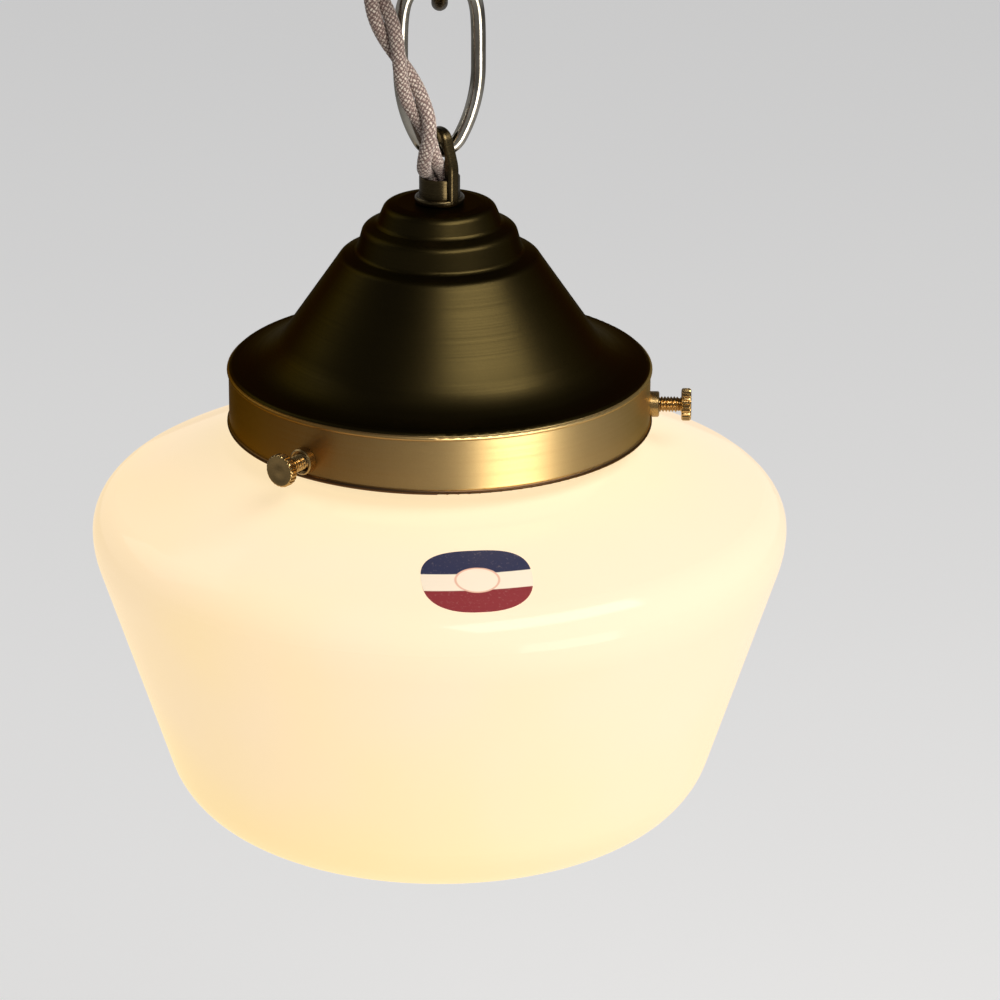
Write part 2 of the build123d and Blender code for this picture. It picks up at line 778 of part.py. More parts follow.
parts["canopy"] = canopy()
parts["mounting_strap"] = mounting_strap()
parts["canopy_nipple"] = canopy_nipple()
parts["strap_nut"] = strap_nut()
parts["earth_screw"] = earth_screw()
parts["canopy_loop"] = canopy_loop()
parts["collar_nut"] = collar_nut()
parts["cord_bushing"] = cord_bushing()
parts["wire_connectors"] = wire_connectors()
parts["canopy_leads"] = canopy_leads()
parts["chain_link"] = chain_link()
parts["hang_loop"] = hang_loop()
parts["fitter_cap"] = fitter_cap()
parts["cap_washer"] = cap_washer()
parts["cap_nut"] = cap_nut()
parts["screw_bosses"] = screw_bosses()
parts["glass_shade"] = glass_shade()
parts["holder_cap"] = holder_cap()
parts["lampholder_body"] = lampholder_body()
parts["screw_shell"] = screw_shell()
parts["centre_contact"] = centre_contact()
parts["terminal_screws"] = terminal_screws()
parts["holder_leads"] = holder_leads()
parts["bulb_glass"] = bulb_glass()
parts["bulb_base"] = bulb_base()
parts["bulb_contact"] = bulb_contact()
parts["bulb_stem"] = bulb_stem()
parts["bulb_filament"] = bulb_filament()
for number, azimuth in enumerate(screw_azimuths, 1):
    parts[f"thumb_screw_{number}"] = thumb_screw(azimuth)
    parts[f"swivel_tip_{number}"] = swivel_tip(azimuth)
parts["cord_lower"] = soft_tube(cord_r, cord_lower_route, "cord_lower")
parts["cord_upper"] = soft_tube(cord_r, cord_upper_route, "cord_upper")

for node, shape in parts.items():
    solids = shape if isinstance(shape, list) else [shape]
    whole = Compound([solid for piece in solids for solid in piece.solids()])
    export_step(whole, f"parts/{node}.step")
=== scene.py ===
import math
import bpy
import numpy as np
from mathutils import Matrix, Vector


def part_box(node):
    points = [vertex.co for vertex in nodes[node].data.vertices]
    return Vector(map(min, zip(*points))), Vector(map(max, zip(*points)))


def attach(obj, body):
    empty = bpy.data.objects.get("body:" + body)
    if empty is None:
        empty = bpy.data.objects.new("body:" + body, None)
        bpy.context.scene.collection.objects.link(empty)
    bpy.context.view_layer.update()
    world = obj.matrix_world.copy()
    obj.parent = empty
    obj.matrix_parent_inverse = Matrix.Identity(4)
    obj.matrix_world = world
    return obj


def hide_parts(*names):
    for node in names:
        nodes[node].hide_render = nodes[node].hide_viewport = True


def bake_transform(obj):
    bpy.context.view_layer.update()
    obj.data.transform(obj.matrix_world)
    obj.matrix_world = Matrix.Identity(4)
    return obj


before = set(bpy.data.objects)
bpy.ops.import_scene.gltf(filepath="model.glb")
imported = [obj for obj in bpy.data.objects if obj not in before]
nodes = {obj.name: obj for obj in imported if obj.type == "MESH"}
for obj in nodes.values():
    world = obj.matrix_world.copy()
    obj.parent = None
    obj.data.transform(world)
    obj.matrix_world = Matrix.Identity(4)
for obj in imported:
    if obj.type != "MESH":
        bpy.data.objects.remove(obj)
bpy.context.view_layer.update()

# Camera: in front of the lamp and a little above its ring, with a long lens. It looks at the hem's
# centre, and the shift puts that point where the photograph has it.
hem_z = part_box("fitter_cap")[0].z
camera_distance = 1.2
camera_pitch = math.radians(20.14)
optics = bpy.data.cameras.new("camera")
optics.sensor_width = 36
optics.lens = 169.34
optics.shift_x = 0.0604
optics.shift_y = -0.0805
camera = bpy.data.objects.new("camera", optics)
camera_reach = camera_distance * math.cos(camera_pitch)
camera.location = (0, -camera_reach, hem_z + camera_distance * math.sin(camera_pitch))
camera.rotation_euler = (math.pi / 2 - camera_pitch, 0, 0)
bpy.context.scene.collection.objects.link(camera)
bpy.context.scene.camera = camera

# Cord: two insulated cores, each braided over with mauve-grey cotton and twisted round the other. It
# comes out of the hanging loop's neck, passes in front of the link and goes up into the canopy.
mm = 0.001
cord_lower_route = [
    (0.0, 0.0, -110.5),
    (0.11, -0.16, -104.93),
    (0.61, 0.54, -100.75),
    (-1.72, -0.78, -96.73),
    (-2.7, -6.77, -93.82),
    (-2.83, -9.8, -83.61),
    (-6.6, -9.0, -75.6),
    (-9.4, -8.65, -68.1),
]
cord_upper_route = [
    (-9.4, -8.65, -68.1),
    (-12.5, -8.26, -59.8),
    (-15.9, -7.5, -50.8),
    (-18.4, -6.5, -42.2),
    (-20.1, -5.5, -34.5),
    (-20.9, -4.95, -27.8),
    (-21.0, -4.8, -21.2),
]
strand_r = 1.8 * mm
half_lay = 25.5 * mm
first_turn = math.radians(108)
tighter_from = 26 * mm
tighter_by = 0.2
braid_columns = 8
braid_pitch = 1.3 * mm
braid_relief = 0.16 * mm
strand_step = 0.14 * mm
strand_sides = 64
lower_blend_from = 90
upper_blend_from = 30


def spline_line(route):
    """Evenly spaced points on the smooth NURBS line whose control points are the route's."""
    curve = bpy.data.curves.new("route", "CURVE")
    curve.dimensions = "3D"
    spline = curve.splines.new("NURBS")
    spline.points.add(len(route) - 1)
    control = np.column_stack([np.array(route) * mm, np.ones(len(route))])
    spline.points.foreach_set("co", control.ravel())
    spline.order_u = 3
    spline.use_endpoint_u = True
    spline.resolution_u = 40
    carrier = bpy.data.objects.new("route", curve)
    line = bpy.data.meshes.new_from_object(carrier)
    points = np.zeros(len(line.vertices) * 3)
    line.vertices.foreach_get("co", points)
    points = points.reshape(-1, 3)
    bpy.data.objects.remove(carrier)
    bpy.data.curves.remove(curve)
    bpy.data.meshes.remove(line)
    run = np.concatenate([[0], np.cumsum(np.linalg.norm(np.diff(points, axis=0), axis=1))])
    even = np.linspace(0, run[-1], int(run[-1] / strand_step))
    return np.column_stack([np.interp(even, run, points[:, axis]) for axis in range(3)]), even


def make_piece(name, skins, sharp_angle=40):
    """One mesh of several skins. Each is a grid (ring, around, xyz), closed round, with a polygon over
    each end. Its UV map holds the share of the way round, and the share of the way along."""
    corners, uvs, base = [], [], 0
    points = []
    for rings in skins:
        count, around = rings.shape[:2]
        i, j = np.meshgrid(np.arange(count - 1), np.arange(around), indexing="ij")
        step = np.array([[0, 0], [0, 1], [1, 1], [1, 0]])
        row = i[..., None] + step[:, 0]
        column = j[..., None] + step[:, 1]
        quads = base + row * around + column % around
        corners += quads.reshape(-1, 4).tolist()
        uvs.append(np.stack([column / around, row / (count - 1)], axis=-1).reshape(-1, 2))
        corners.append((base + np.arange(around))[::-1].tolist())
        corners.append((base + (count - 1) * around + np.arange(around)).tolist())
        uvs.append(np.zeros((2 * around, 2)))
        points.append(rings.reshape(-1, 3))
        base += count * around
    mesh = bpy.data.meshes.new(name)
    mesh.from_pydata(np.concatenate(points), [], corners)
    mesh.uv_layers.new(name="UVMap").data.foreach_set("uv", np.concatenate(uvs).ravel())
    mesh.shade_smooth()
    mesh.set_sharp_from_angle(angle=math.radians(sharp_angle))
    piece = bpy.data.objects.new(name, mesh)
    bpy.context.scene.collection.objects.link(piece)
    return piece


def strand_frames(line):
    """At each point of a line, two directions square to it: to the side, and away from the camera."""
    heading = np.gradient(line, axis=0)
    heading /= np.linalg.norm(heading, axis=1)[:, None]
    side = np.cross(heading, [0, 1, 0])
    side /= np.linalg.norm(side, axis=1)[:, None]
    return side, np.cross(side, heading)


def braid_height(turns, run):
    """Yarns in two slanting families cross over and under each other. The height is the upper one's
    round back, from 0 to 1."""
    one = braid_columns * turns + run / braid_pitch
    other = braid_columns * turns - run / braid_pitch
    over = 0.5 + 0.5 * np.tanh(4 * np.sin(np.pi * one) * np.sin(np.pi * other))
    return over * np.abs(np.sin(np.pi * one)) + (1 - over) * np.abs(np.sin(np.pi * other))


def strand(line, run, centre_turn):
    """A braided strand that winds round the line at its own radius. Its skin is that radius, with the
    braid's relief sunk into it."""
    side, away = strand_frames(line)
    wound = np.cos(centre_turn)[:, None] * side + np.sin(centre_turn)[:, None] * away
    centre = line + strand_r * wound
    across, back = strand_frames(centre)
    turns = np.linspace(0, 1, strand_sides, endpoint=False)
    angle = -2 * np.pi * turns[None, :] + centre_turn[:, None]
    height = braid_height(turns[None, :], run[:, None])
    radius = (strand_r - braid_relief + braid_relief * height)[..., None]
    around = np.cos(angle)[..., None] * across[:, None] + np.sin(angle)[..., None] * back[:, None]
    return centre[:, None] + radius * around, height


def twisted_pair(name, route, run_before):
    """Both strands of one stretch of the cord. The braid's height is kept as an attribute for the colour."""
    line, run = spline_line(route)
    wound = run + run_before + tighter_by * np.maximum(run + run_before - tighter_from, 0)
    centre_turn = first_turn - np.pi * wound / half_lay
    near, near_height = strand(line, run + run_before, centre_turn)
    far, far_height = strand(line, run + run_before, centre_turn + np.pi)
    piece = make_piece(name, [near, far], 180)
    yarn = piece.data.attributes.new("yarn", "FLOAT", "POINT")
    yarn.data.foreach_set("value", np.concatenate([near_height.ravel(), far_height.ravel()]))
    return piece, line, run[-1]


def place(tree, kind, inputs=(), **settings):
    """Adds a shader node: its settings, then its inputs by name or number, each a value or an output
    to join."""
    added = tree.nodes.new("ShaderNode" + kind)
    for key, value in settings.items():
        setattr(added, key, value)
    for key, value in dict(inputs).items():
        if isinstance(value, bpy.types.NodeSocket):
            tree.links.new(value, added.inputs[key])
        else:
            added.inputs[key].default_value = value
    return added


def mixed(tree, share, low, high):
    """A colour between two, by a share from 0 to 1."""
    return place(tree, "Mix", {0: share, 6: low, 7: high}, data_type="RGBA").outputs[2]


def stepped(tree, value, low, high):
    """0 below low, 1 above high, and a smooth rise between them."""
    inputs = {"Value": value, "From Min": low, "From Max": high}
    return place(tree, "MapRange", inputs, interpolation_type="SMOOTHSTEP").outputs["Result"]


def position(tree):
    """Where a point of the surface is, in metres, in the lamp's own frame."""
    return place(tree, "TexCoord").outputs["Object"]


def noise(tree, spot, scale, detail=2.0):
    """Soft blotches from 0 to 1, about 1 / scale of a metre across."""
    return place(tree, "TexNoise", {"Vector": spot, "Scale": scale, "Detail": detail}).outputs["Fac"]


def emboss(tree, shader, height, strength, distance):
    """Raises the surface by a height from 0 to 1 that stands for the distance."""
    relief = {"Height": height, "Strength": strength, "Distance": distance}
    tree.links.new(place(tree, "Bump", relief).outputs["Normal"], shader.inputs["Normal"])


def new_material(name, **plain):
    """A material with the plain numbers of its finish on the shader's own sockets."""
    material = bpy.data.materials.new(name)
    material.use_nodes = True
    shader = material.node_tree.nodes["Principled BSDF"]
    for key, value in plain.items():
        shader.inputs[key.replace("_", " ")].default_value = value
    return material, material.node_tree, shader


cotton_finish = {"Roughness": 0.9, "Sheen_Weight": 0.25, "Sheen_Roughness": 0.5}
cotton, tree, shader = new_material("mauve_cotton_braid", **cotton_finish)
yarn = place(tree, "Attribute", attribute_name="yarn").outputs["Fac"]
spot = position(tree)
dye = noise(tree, spot, 900.0)
fleck = noise(tree, spot, 2100.0, 1.0)
thread = mixed(tree, stepped(tree, dye, 0.35, 0.65), (0.54, 0.42, 0.36, 1), (0.80, 0.71, 0.61, 1))
thread = mixed(tree, stepped(tree, fleck, 0.54, 0.64), thread, (0.24, 0.15, 0.13, 1))
# Painted shade: where the braid is low, in the valleys between the yarns, the colour turns dark brown.
thread_and_valley_shade = mixed(tree, stepped(tree, yarn, 0.40, 0.98), (0.17, 0.11, 0.095, 1), thread)
tree.links.new(thread_and_valley_shade, shader.inputs["Base Color"])
emboss(tree, shader, fleck, 0.5, 0.05 * mm)

lower_cord, lower_line, lower_length = twisted_pair("cord_lower_pair", cord_lower_route, 0)
upper_cord, upper_line, upper_length = twisted_pair("cord_upper_pair", cord_upper_route, lower_length)
lower_bodies = ("fixture", "chain_link")
upper_bodies = ("chain_link", "ceiling_mount")
for piece, line, length, node_name, bodies, blend_from in (
    (lower_cord, lower_line, lower_length, "cord_lower", lower_bodies, lower_blend_from),
    (upper_cord, upper_line, upper_length, "cord_upper", upper_bodies, upper_blend_from),
):
    piece.data.materials.append(cotton)
    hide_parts(node_name)
    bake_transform(piece)

# Chain link: steel wire, bent to a long loop that narrows to its foot, brazed shut at the top, nickel
# plated and polished.
link_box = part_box("chain_link")
link_wire_r = 1.85 * mm
link_half_width = 10.0 * mm
link_foot_r = 6.0 * mm
link_turn = math.radians(15.0)
link_top_squareness = 4.5
link_sides = 40
link_top_points = 70
link_arc_points = 40
link_points = 420


def link_line():
    """The wire's centre line from the top's middle, round the foot and back. The top is a squarish
    oval, and below it each side is one long arc that meets the foot's arc."""
    half = (link_box[1].z - link_box[0].z) / 2 - link_wire_r
    rise = half - link_foot_r
    side_r = (link_half_width ** 2 + rise ** 2 - link_foot_r ** 2) / (2 * (link_half_width - link_foot_r))
    join = math.atan2(rise, side_r - link_half_width)
    turn = np.linspace(np.pi / 2, 0, link_top_points)[:-1]
    top = np.column_stack([
        link_half_width * np.cos(turn) ** (2 / link_top_squareness),
        half * np.sin(turn) ** (2 / link_top_squareness),
    ])
    lean = -np.linspace(0, join, link_arc_points)[:-1]
    side_centre = link_half_width - side_r
    side = np.column_stack([side_centre + side_r * np.cos(lean), side_r * np.sin(lean)])
    lean = -np.linspace(join, np.pi / 2, link_arc_points)
    foot = np.column_stack([link_foot_r * np.cos(lean), link_foot_r * np.sin(lean) - rise])
    right = np.concatenate([top, side, foot])
    whole = np.concatenate([right, right[-2::-1] * (-1, 1)])
    run = np.concatenate([[0], np.cumsum(np.linalg.norm(np.diff(whole, axis=0), axis=1))])
    even = np.linspace(0, run[-1], link_points)
    return np.interp(even, run, whole[:, 0]), np.interp(even, run, whole[:, 1])


def link_skin():
    """A round wire along the centre line, which lies in one upright plane."""
    out, up = link_line()
    headed = np.column_stack([np.gradient(out), np.gradient(up)])
    headed /= np.linalg.norm(headed, axis=1)[:, None]
    headed[[0, -1]] = (1, 0)
    turn = -np.linspace(0, 2 * np.pi, link_sides, endpoint=False)
    inward = link_wire_r * np.cos(turn)[None, :]
    through = link_wire_r * np.sin(turn)[None, :]
    along = out[:, None] + inward * headed[:, 1:]
    height = up[:, None] - inward * headed[:, :1]
    x = along * math.cos(link_turn) - through * math.sin(link_turn)
    y = along * math.sin(link_turn) + through * math.cos(link_turn)
    return np.stack([x, y, height + (link_box[0].z + link_box[1].z) / 2], axis=-1)


nickel, tree, shader = new_material("polished_nickel", Metallic=1.0)
spot = position(tree)
cloud = noise(tree, spot, 160.0, 3.0)
scratches = place(tree, "Mapping", {"Vector": spot, "Scale": (6.0, 6.0, 0.6)}).outputs["Vector"]
scratch = noise(tree, scratches, 900.0, 3.0)
tint = mixed(tree, stepped(tree, cloud, 0.35, 0.7), (0.52, 0.49, 0.43, 1), (0.36, 0.33, 0.27, 1))
tree.links.new(tint, shader.inputs["Base Color"])
gloss = place(tree, "MapRange", {"Value": scratch, "To Min": 0.07, "To Max": 0.24}).outputs["Result"]
tree.links.new(gloss, shader.inputs["Roughness"])
emboss(tree, shader, scratch, 0.15, 0.02 * mm)
link = make_piece("chain_link_wire", [link_skin()])
link.data.materials.append(nickel)
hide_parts("chain_link")
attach(link, "chain_link")

# Spun brass: the fitter cap and the canopy are discs of sheet brass, spun over a form, with a dark satin
# patina that is left on all but the cap's ring band, where it is rubbed back to gold. Their olive colour is
# partly that patina and partly painted shade, darker than the metal. Across the band, the patina runs from
# painted shade on the left to a painted highlight on the right.
ring_edge_z = hem_z + 15.15 * mm
hem_edge_z = hem_z + 1.2 * mm
ring_edge_blur = 0.1 * mm
hem_edge_blur = 0.15 * mm
band_shade_left_x = -50 * mm
band_highlight_right_x = 16 * mm


def open_group(name, inputs, outputs):
    """A node group with named sockets: its tree, the sockets that come in, and the node that sends out."""
    group = bpy.data.node_groups.new(name, "ShaderNodeTree")
    for label, kind, value in inputs:
        group.interface.new_socket(label, in_out="INPUT", socket_type=kind).default_value = value
    for label, kind in outputs:
        group.interface.new_socket(label, in_out="OUTPUT", socket_type=kind)
    return group, group.nodes.new("NodeGroupInput").outputs, group.nodes.new("NodeGroupOutput").inputs


def use_group(tree, group, inputs):
    """Places a group in a material with its values, and returns its outputs."""
    return place(tree, "Group", inputs, node_tree=group).outputs


patina, given, out = open_group(
    "brass_patina",
    [
        ("Metal", "NodeSocketColor", (0.4, 0.3, 0.1, 1)),
        ("Patina", "NodeSocketColor", (0.1, 0.1, 0.1, 1)),
        ("Cover", "NodeSocketFloat", 0.5),
        ("Gloss", "NodeSocketFloat", 0.3),
    ],
    [("Color", "NodeSocketColor"), ("Roughness", "NodeSocketFloat"), ("Height", "NodeSocketFloat")],
)
spot = position(patina)
flat = place(patina, "VectorMath", {0: spot, 1: (1, 1, 0)}, operation="MULTIPLY").outputs["Vector"]
radius = place(patina, "VectorMath", {0: flat}, operation="LENGTH").outputs["Value"]
height = place(patina, "SeparateXYZ", {0: spot}).outputs["Z"]
spun = place(patina, "CombineXYZ", {"X": radius, "Y": height}).outputs["Vector"]
lines = noise(patina, spun, 1600.0, 3.0)
cloud = noise(patina, spot, 70.0, 4.0)
grit = noise(patina, spot, 2600.0, 1.0)
uneven = place(patina, "Math", {0: cloud, 1: 0.16, 2: given["Cover"]}, operation="MULTIPLY_ADD").outputs[0]
uneven = place(patina, "Math", {0: lines, 1: 0.16, 2: uneven}, operation="MULTIPLY_ADD").outputs[0]
uneven = place(patina, "Math", {0: grit, 1: 0.14, 2: uneven}, operation="MULTIPLY_ADD").outputs[0]
cover = place(patina, "Math", {0: uneven, 1: 0.23}, operation="SUBTRACT", use_clamp=True).outputs[0]
patina.links.new(mixed(patina, cover, given["Metal"], given["Patina"]), out["Color"])
rough = place(patina, "Math", {0: lines, 1: 0.16, 2: given["Gloss"]}, operation="MULTIPLY_ADD").outputs[0]
patina.links.new(rough, out["Roughness"])
both = place(patina, "Math", {0: grit, 1: 0.4, 2: lines}, operation="MULTIPLY_ADD").outputs[0]
patina.links.new(both, out["Height"])


def brass(name, metal, dark, cover, gloss, bump=0.2):
    """A brass finish: its bright metal, its patina's colour and how far that covers it."""
    material, tree, shader = new_material(name, Metallic=1.0)
    finish = use_group(tree, patina, {"Metal": metal, "Patina": dark, "Cover": cover, "Gloss": gloss})
    tree.links.new(finish["Color"], shader.inputs["Base Color"])
    tree.links.new(finish["Roughness"], shader.inputs["Roughness"])
    emboss(tree, shader, finish["Height"], bump, 0.03 * mm)
    return material, tree, shader, finish


def dress(node_name, material):
    """Gives a CAD node its finish."""
    node = nodes[node_name]
    node.data.materials.clear()
    node.data.materials.append(material)


# The olive colours are partly patina and partly painted shade. They are darker than the aged brass, standing
# for a dark room mirrored in the crown and the canopy.
olive_patina = (0.006, 0.005, 0.0025, 1)
olive_brass_with_painted_shade = (0.058, 0.042, 0.0135, 1)
gold_brass = (0.62, 0.45, 0.20, 1)
brown_brass = (0.30, 0.145, 0.030, 1)
hem_shadow = (0.10, 0.055, 0.028, 1)

spun_cap, tree, shader, finish = brass("spun_brass_cap", olive_brass_with_painted_shade, olive_patina, 0.55, 0.30)
parts = place(tree, "SeparateXYZ", {0: position(tree)}).outputs
height = parts["Z"]
# Painted light on the band: the patina thins from left to right, giving painted shade on the left and a
# painted highlight towards the right.
left_to_right = {"Value": parts["X"], "From Min": band_shade_left_x, "From Max": band_highlight_right_x}
left_to_right.update({"To Min": 1.05, "To Max": 0.18})
band_shade_to_highlight = place(tree, "MapRange", left_to_right, interpolation_type="SMOOTHSTEP").outputs["Result"]
band = use_group(tree, patina, {"Metal": gold_brass, "Patina": brown_brass, "Cover": band_shade_to_highlight, "Gloss": 0.24})
above = stepped(tree, height, ring_edge_z - ring_edge_blur, ring_edge_z + ring_edge_blur)
colour = mixed(tree, above, band["Color"], finish["Color"])
hem_share = stepped(tree, height, hem_edge_z - hem_edge_blur, hem_edge_z + hem_edge_blur)
colour = mixed(tree, hem_share, hem_shadow, colour)
tree.links.new(colour, shader.inputs["Base Color"])
shader.inputs["Specular Tint"].default_value = (0.45, 0.38, 0.22, 1)
dress("fitter_cap", spun_cap)

spun_canopy = brass("spun_brass_canopy", olive_brass_with_painted_shade, olive_patina, 0.5, 0.30)[0]
dress("canopy", spun_canopy)

# Brass castings: the hanging loop on the cap, the canopy loop and its collar nut, darkened in a bath and
# worn brighter where they are handled.
rubbed_cast = (0.34, 0.25, 0.11, 1)
bath_dark = (0.016, 0.012, 0.007, 1)
cast_brass = brass("dark_cast_brass", rubbed_cast, bath_dark, 0.80, 0.20, 0.35)[0]
for node_name in ("hang_loop", "canopy_loop", "collar_nut"):
    dress(node_name, cast_brass)

# Thumb screws: turned brass with a rolled thread and a ridged head, one in each of the three riveted
# bushes of the ring band. A nylon tip swivels in each screw's end, against the glass.
screw_azimuths = (-2.0, -128.0, 115.0)
screw_height = 4.9 * mm
screw_r = 2.0 * mm
thread_root_r = 1.58 * mm
thread_pitch = 0.794 * mm
screw_end = 48.08 * mm
socket_r = 1.18 * mm
socket_depth = 2.08 * mm
head_low = 61.5 * mm
head_r = 4.15 * mm
head_thickness = 2.5 * mm
head_ridges = 24
ridge_depth = 0.35 * mm
head_round_r = 0.6 * mm
head_dish = 0.12 * mm
middle_r = 0.05 * mm
shank_step = 0.075 * mm
edge_points = 9


def screw_outline():
    """The outline from the tip's socket to the head's face: place along, radius, share of the thread
    and share of the ridges. The thread fades in and out over one turn, and the head's edges are round."""
    turns = np.linspace(0, 1, edge_points)
    none, full = np.zeros(edge_points), np.ones(edge_points)
    shank = np.arange(screw_end + 0.4 * mm, head_low - 0.3 * mm, shank_step)
    fade_in = np.clip((shank - shank[0]) / thread_pitch, 0, 1)
    fade_out = np.clip((shank[-1] - shank) / thread_pitch, 0, 1)
    bend = np.pi / 2 * turns
    edge_r = head_r - head_round_r * (1 - np.sin(bend))
    low_edge = head_low + head_round_r * (1 - np.cos(bend))
    high_edge = head_low + head_thickness - head_round_r * (1 - np.cos(bend[::-1]))
    face = head_low + head_thickness - head_dish * np.sin(np.pi * turns) ** 2
    face_r = (head_r - head_round_r) * (1 - turns) + middle_r
    plain = [
        (screw_end + socket_depth, middle_r, 0, 0),
        (screw_end + socket_depth, socket_r, 0, 0),
        (screw_end, socket_r, 0, 0),
        (screw_end, thread_root_r, 0, 0),
    ]
    under = [
        (head_low - 0.2 * mm, thread_root_r + 0.2 * mm, 0, 0),
        (head_low, thread_root_r + 0.4 * mm, 0, 0),
    ]
    parts = [
        np.array(plain),
        np.column_stack([shank, np.full_like(shank, thread_root_r), fade_in * fade_out, 0 * shank]),
        np.array(under),
        np.column_stack([low_edge, edge_r, none, full]),
        np.column_stack([high_edge, edge_r[::-1], none, full]),
        np.column_stack([face, face_r, none, none]),
    ]
    return np.concatenate(parts)


def screw_skin(azimuth):
    """The outline turned about the screw. The thread adds a helical ridge, and the head's radius is cut
    down between its ridges."""
    ridge_corners = np.array([0, 1 / 4, 3 / 5, 6 / 7])
    turns = ((np.arange(head_ridges)[:, None] + ridge_corners) / head_ridges).ravel()
    ridge = np.tile([0, 1, 1, 0], head_ridges)
    along, outline, threaded, ridged = (column[:, None] for column in screw_outline().T)
    crest = 2 * np.abs((along / thread_pitch - turns) % 1 - 0.5)
    radius = outline + threaded * (screw_r - thread_root_r) * np.clip(1.5 * crest - 0.2, 0, 1)
    star = head_r - ridge_depth * (1 - ridge)
    radius = np.where(ridged > 0, np.minimum(radius, star), radius)
    across = radius * np.cos(2 * np.pi * turns)
    up = hem_z + screw_height + radius * np.sin(2 * np.pi * turns)
    along = np.broadcast_to(along, radius.shape)
    lean = math.radians(azimuth)
    x = along * math.cos(lean) - across * math.sin(lean)
    y = along * math.sin(lean) + across * math.cos(lean)
    return np.stack([x, y, up], axis=-1)


bright_brass = (0.66, 0.46, 0.19, 1)
handled_brown = (0.17, 0.09, 0.03, 1)
screw_brass = brass("bright_screw_brass", bright_brass, handled_brown, 0.48, 0.14, 0.3)[0]
for number, azimuth in enumerate(screw_azimuths, 1):
    thumb_screw = make_piece(f"thumb_screw_{number}_threaded", [screw_skin(azimuth)], 25)
    thumb_screw.data.materials.append(screw_brass)
    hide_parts(f"thumb_screw_{number}")
    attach(thumb_screw, f"thumb_screw_{number}")
bush_gold = (0.50, 0.34, 0.14, 1)
bush_brown = (0.12, 0.075, 0.03, 1)
boss_brass = brass("bush_brass", bush_gold, bush_brown, 0.40, 0.2, 0.3)[0]
dress("screw_bosses", boss_brass)


def moulded(name, low, high, roughness, scale=700.0, bump=0.15, **plain):
    """A moulded or drawn finish: a little colour variation and a fine skin."""
    material, tree, shader = new_material(name, **plain)
    spot = position(tree)
    cloud = noise(tree, spot, 90.0, 4.0)
    skin = noise(tree, spot, scale)
    tree.links.new(mixed(tree, stepped(tree, cloud, 0.3, 0.7), low, high), shader.inputs["Base Color"])
    limits = {"Value": skin, "To Min": roughness - 0.06, "To Max": roughness + 0.08}
    tree.links.new(place(tree, "MapRange", limits).outputs["Result"], shader.inputs["Roughness"])
    emboss(tree, shader, skin, bump, 0.05 * mm)
    return material


nylon_shade = (0.80, 0.77, 0.70, 1)
nylon_light = (0.88, 0.86, 0.80, 1)
nylon = moulded("natural_nylon", nylon_shade, nylon_light, 0.42, Subsurface_Weight=0.1)
for number in range(1, len(screw_azimuths) + 1):
    dress(f"swivel_tip_{number}", nylon)

# Shade: opal glass blown in a mould, closed below, white and lit from inside by the bulb. Its surface is
# fire polished, with faint waves, and its light is warmer low down and on the left.
glow_low_z = -0.262
glow_high_z = -0.168
glow_half_width = 0.08
warm_glow = (0.89, 0.67, 0.325, 1)
pale_glow = (0.83, 0.645, 0.44, 1)
neck_glow = (0.85, 0.68, 0.42, 1)
opal_finish = {"Roughness": 0.1, "Specular_IOR_Level": 0.13, "Emission_Strength": 1.0}
opal, tree, shader = new_material("lit_opal_glass", **opal_finish)
spot = position(tree)
parts = place(tree, "SeparateXYZ", {0: spot}).outputs
upwards = {"Value": parts["Z"], "From Min": glow_low_z, "From Max": glow_high_z}
depth = place(tree, "MapRange", upwards).outputs["Result"]
sideways = {"Value": parts["X"], "From Min": -glow_half_width, "From Max": glow_half_width}
across = place(tree, "MapRange", sideways).outputs["Result"]
flow = noise(tree, spot, 14.0)
lean = place(tree, "Math", {0: across, 1: 0.45, 2: flow}, operation="MULTIPLY_ADD").outputs[0]
lean = place(tree, "Math", {0: depth, 1: 0.55, 2: lean}, operation="MULTIPLY_ADD").outputs[0]
glow = mixed(tree, stepped(tree, lean, 0.45, 1.35), warm_glow, pale_glow)
neck = stepped(tree, parts["Z"], hem_z - 16 * mm, hem_z - 2 * mm)
glow = mixed(tree, neck, glow, neck_glow)
tree.links.new(glow, shader.inputs["Emission Color"])
milk = mixed(tree, flow, (0.26, 0.215, 0.165, 1), (0.29, 0.245, 0.195, 1))
tree.links.new(milk, shader.inputs["Base Color"])
emboss(tree, shader, noise(tree, spot, 38.0, 1.0), 0.25, 0.25 * mm)
dress("glass_shade", opal)

# Paper label on the shade's shoulder: an oval of printed paper, navy above, wine red below, with a
# cream field and no lettering.
label_azimuth = math.radians(-83.0)
label_radius = 74.8 * mm
label_half_width = 13.6 * mm
label_half_height = 9.3 * mm
label_thickness = 0.12 * mm
label_foot = -0.05 * mm
label_squareness = 2.6
label_rings = 26
label_sides = 96
shoulder_r = 235 * mm
shoulder_centre_r = -21.95 * mm
shoulder_centre_z = hem_z - 228.3 * mm


def label_skin():
    """A disc in rings, squashed to a squarish oval and laid on the shoulder. Across it goes round the
    shade, and up it goes inwards. The last ring is its edge, sunk a little into the glass."""
    share = np.concatenate([np.linspace(0.02, 1, label_rings), [1.0]])[:, None]
    lift = np.concatenate([np.full(label_rings, label_thickness), [label_foot]])[:, None]
    angle = -np.linspace(0, 2 * np.pi, label_sides, endpoint=False)[None, :]
    oval = np.abs(np.cos(angle)) ** label_squareness + np.abs(np.sin(angle)) ** label_squareness
    reach = share * oval ** (-1 / label_squareness)
    across = reach * np.cos(angle)
    up = reach * np.sin(angle)
    radius = label_radius - up * label_half_height
    turn = label_azimuth + across * label_half_width / radius
    lean = np.arcsin((radius - shoulder_centre_r) / shoulder_r)
    z = shoulder_centre_z + (shoulder_r + lift) * np.cos(lean)
    radius = shoulder_centre_r + (shoulder_r + lift) * np.sin(lean)
    return np.stack([radius * np.cos(turn), radius * np.sin(turn), z], axis=-1), across, up


